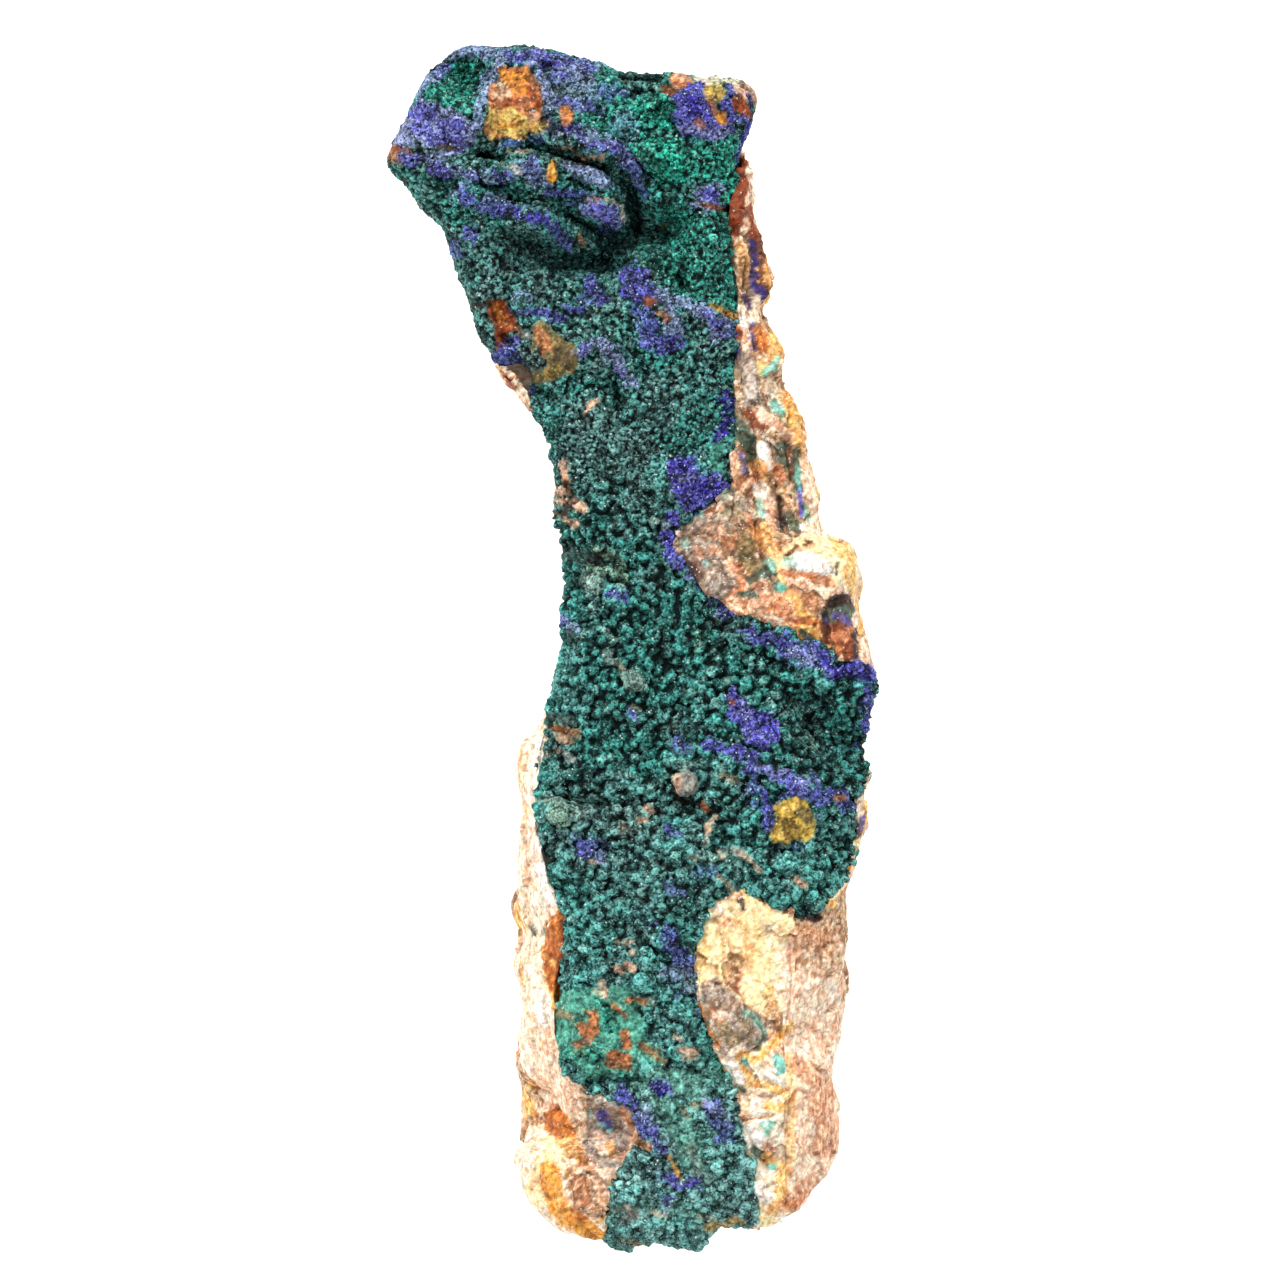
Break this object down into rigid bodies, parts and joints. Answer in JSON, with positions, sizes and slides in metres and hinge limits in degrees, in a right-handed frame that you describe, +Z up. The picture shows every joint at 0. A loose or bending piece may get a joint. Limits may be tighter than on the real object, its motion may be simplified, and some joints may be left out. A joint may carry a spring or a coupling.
{
  "type": "azurite and malachite mineral specimen",
  "caption": "Natural mineral specimen: a long broken rock with a velvety crust of dark green malachite and blue azurite over one face.",
  "frame": {"origin": "middle of the bounding box, on the level that the specimen rests on", "axes": "+Y along the specimen towards its wide end, +Z up out of the crusted face, away from the fracture that it lies on, +X to the right of that face"},
  "size_m": [0.0611, 0.151, 0.0444],
  "materials": {
    "host_rock": "rough iron-stained quartz and limonite",
    "azurite_malachite_crust": "velvety dark green malachite with patches of blue azurite, fine sparkle"
  },
  "bodies": {
    "root": {"host_rock": "host_rock", "azurite_malachite_crust": "azurite_malachite_crust"}
  },
  "joints": []
}
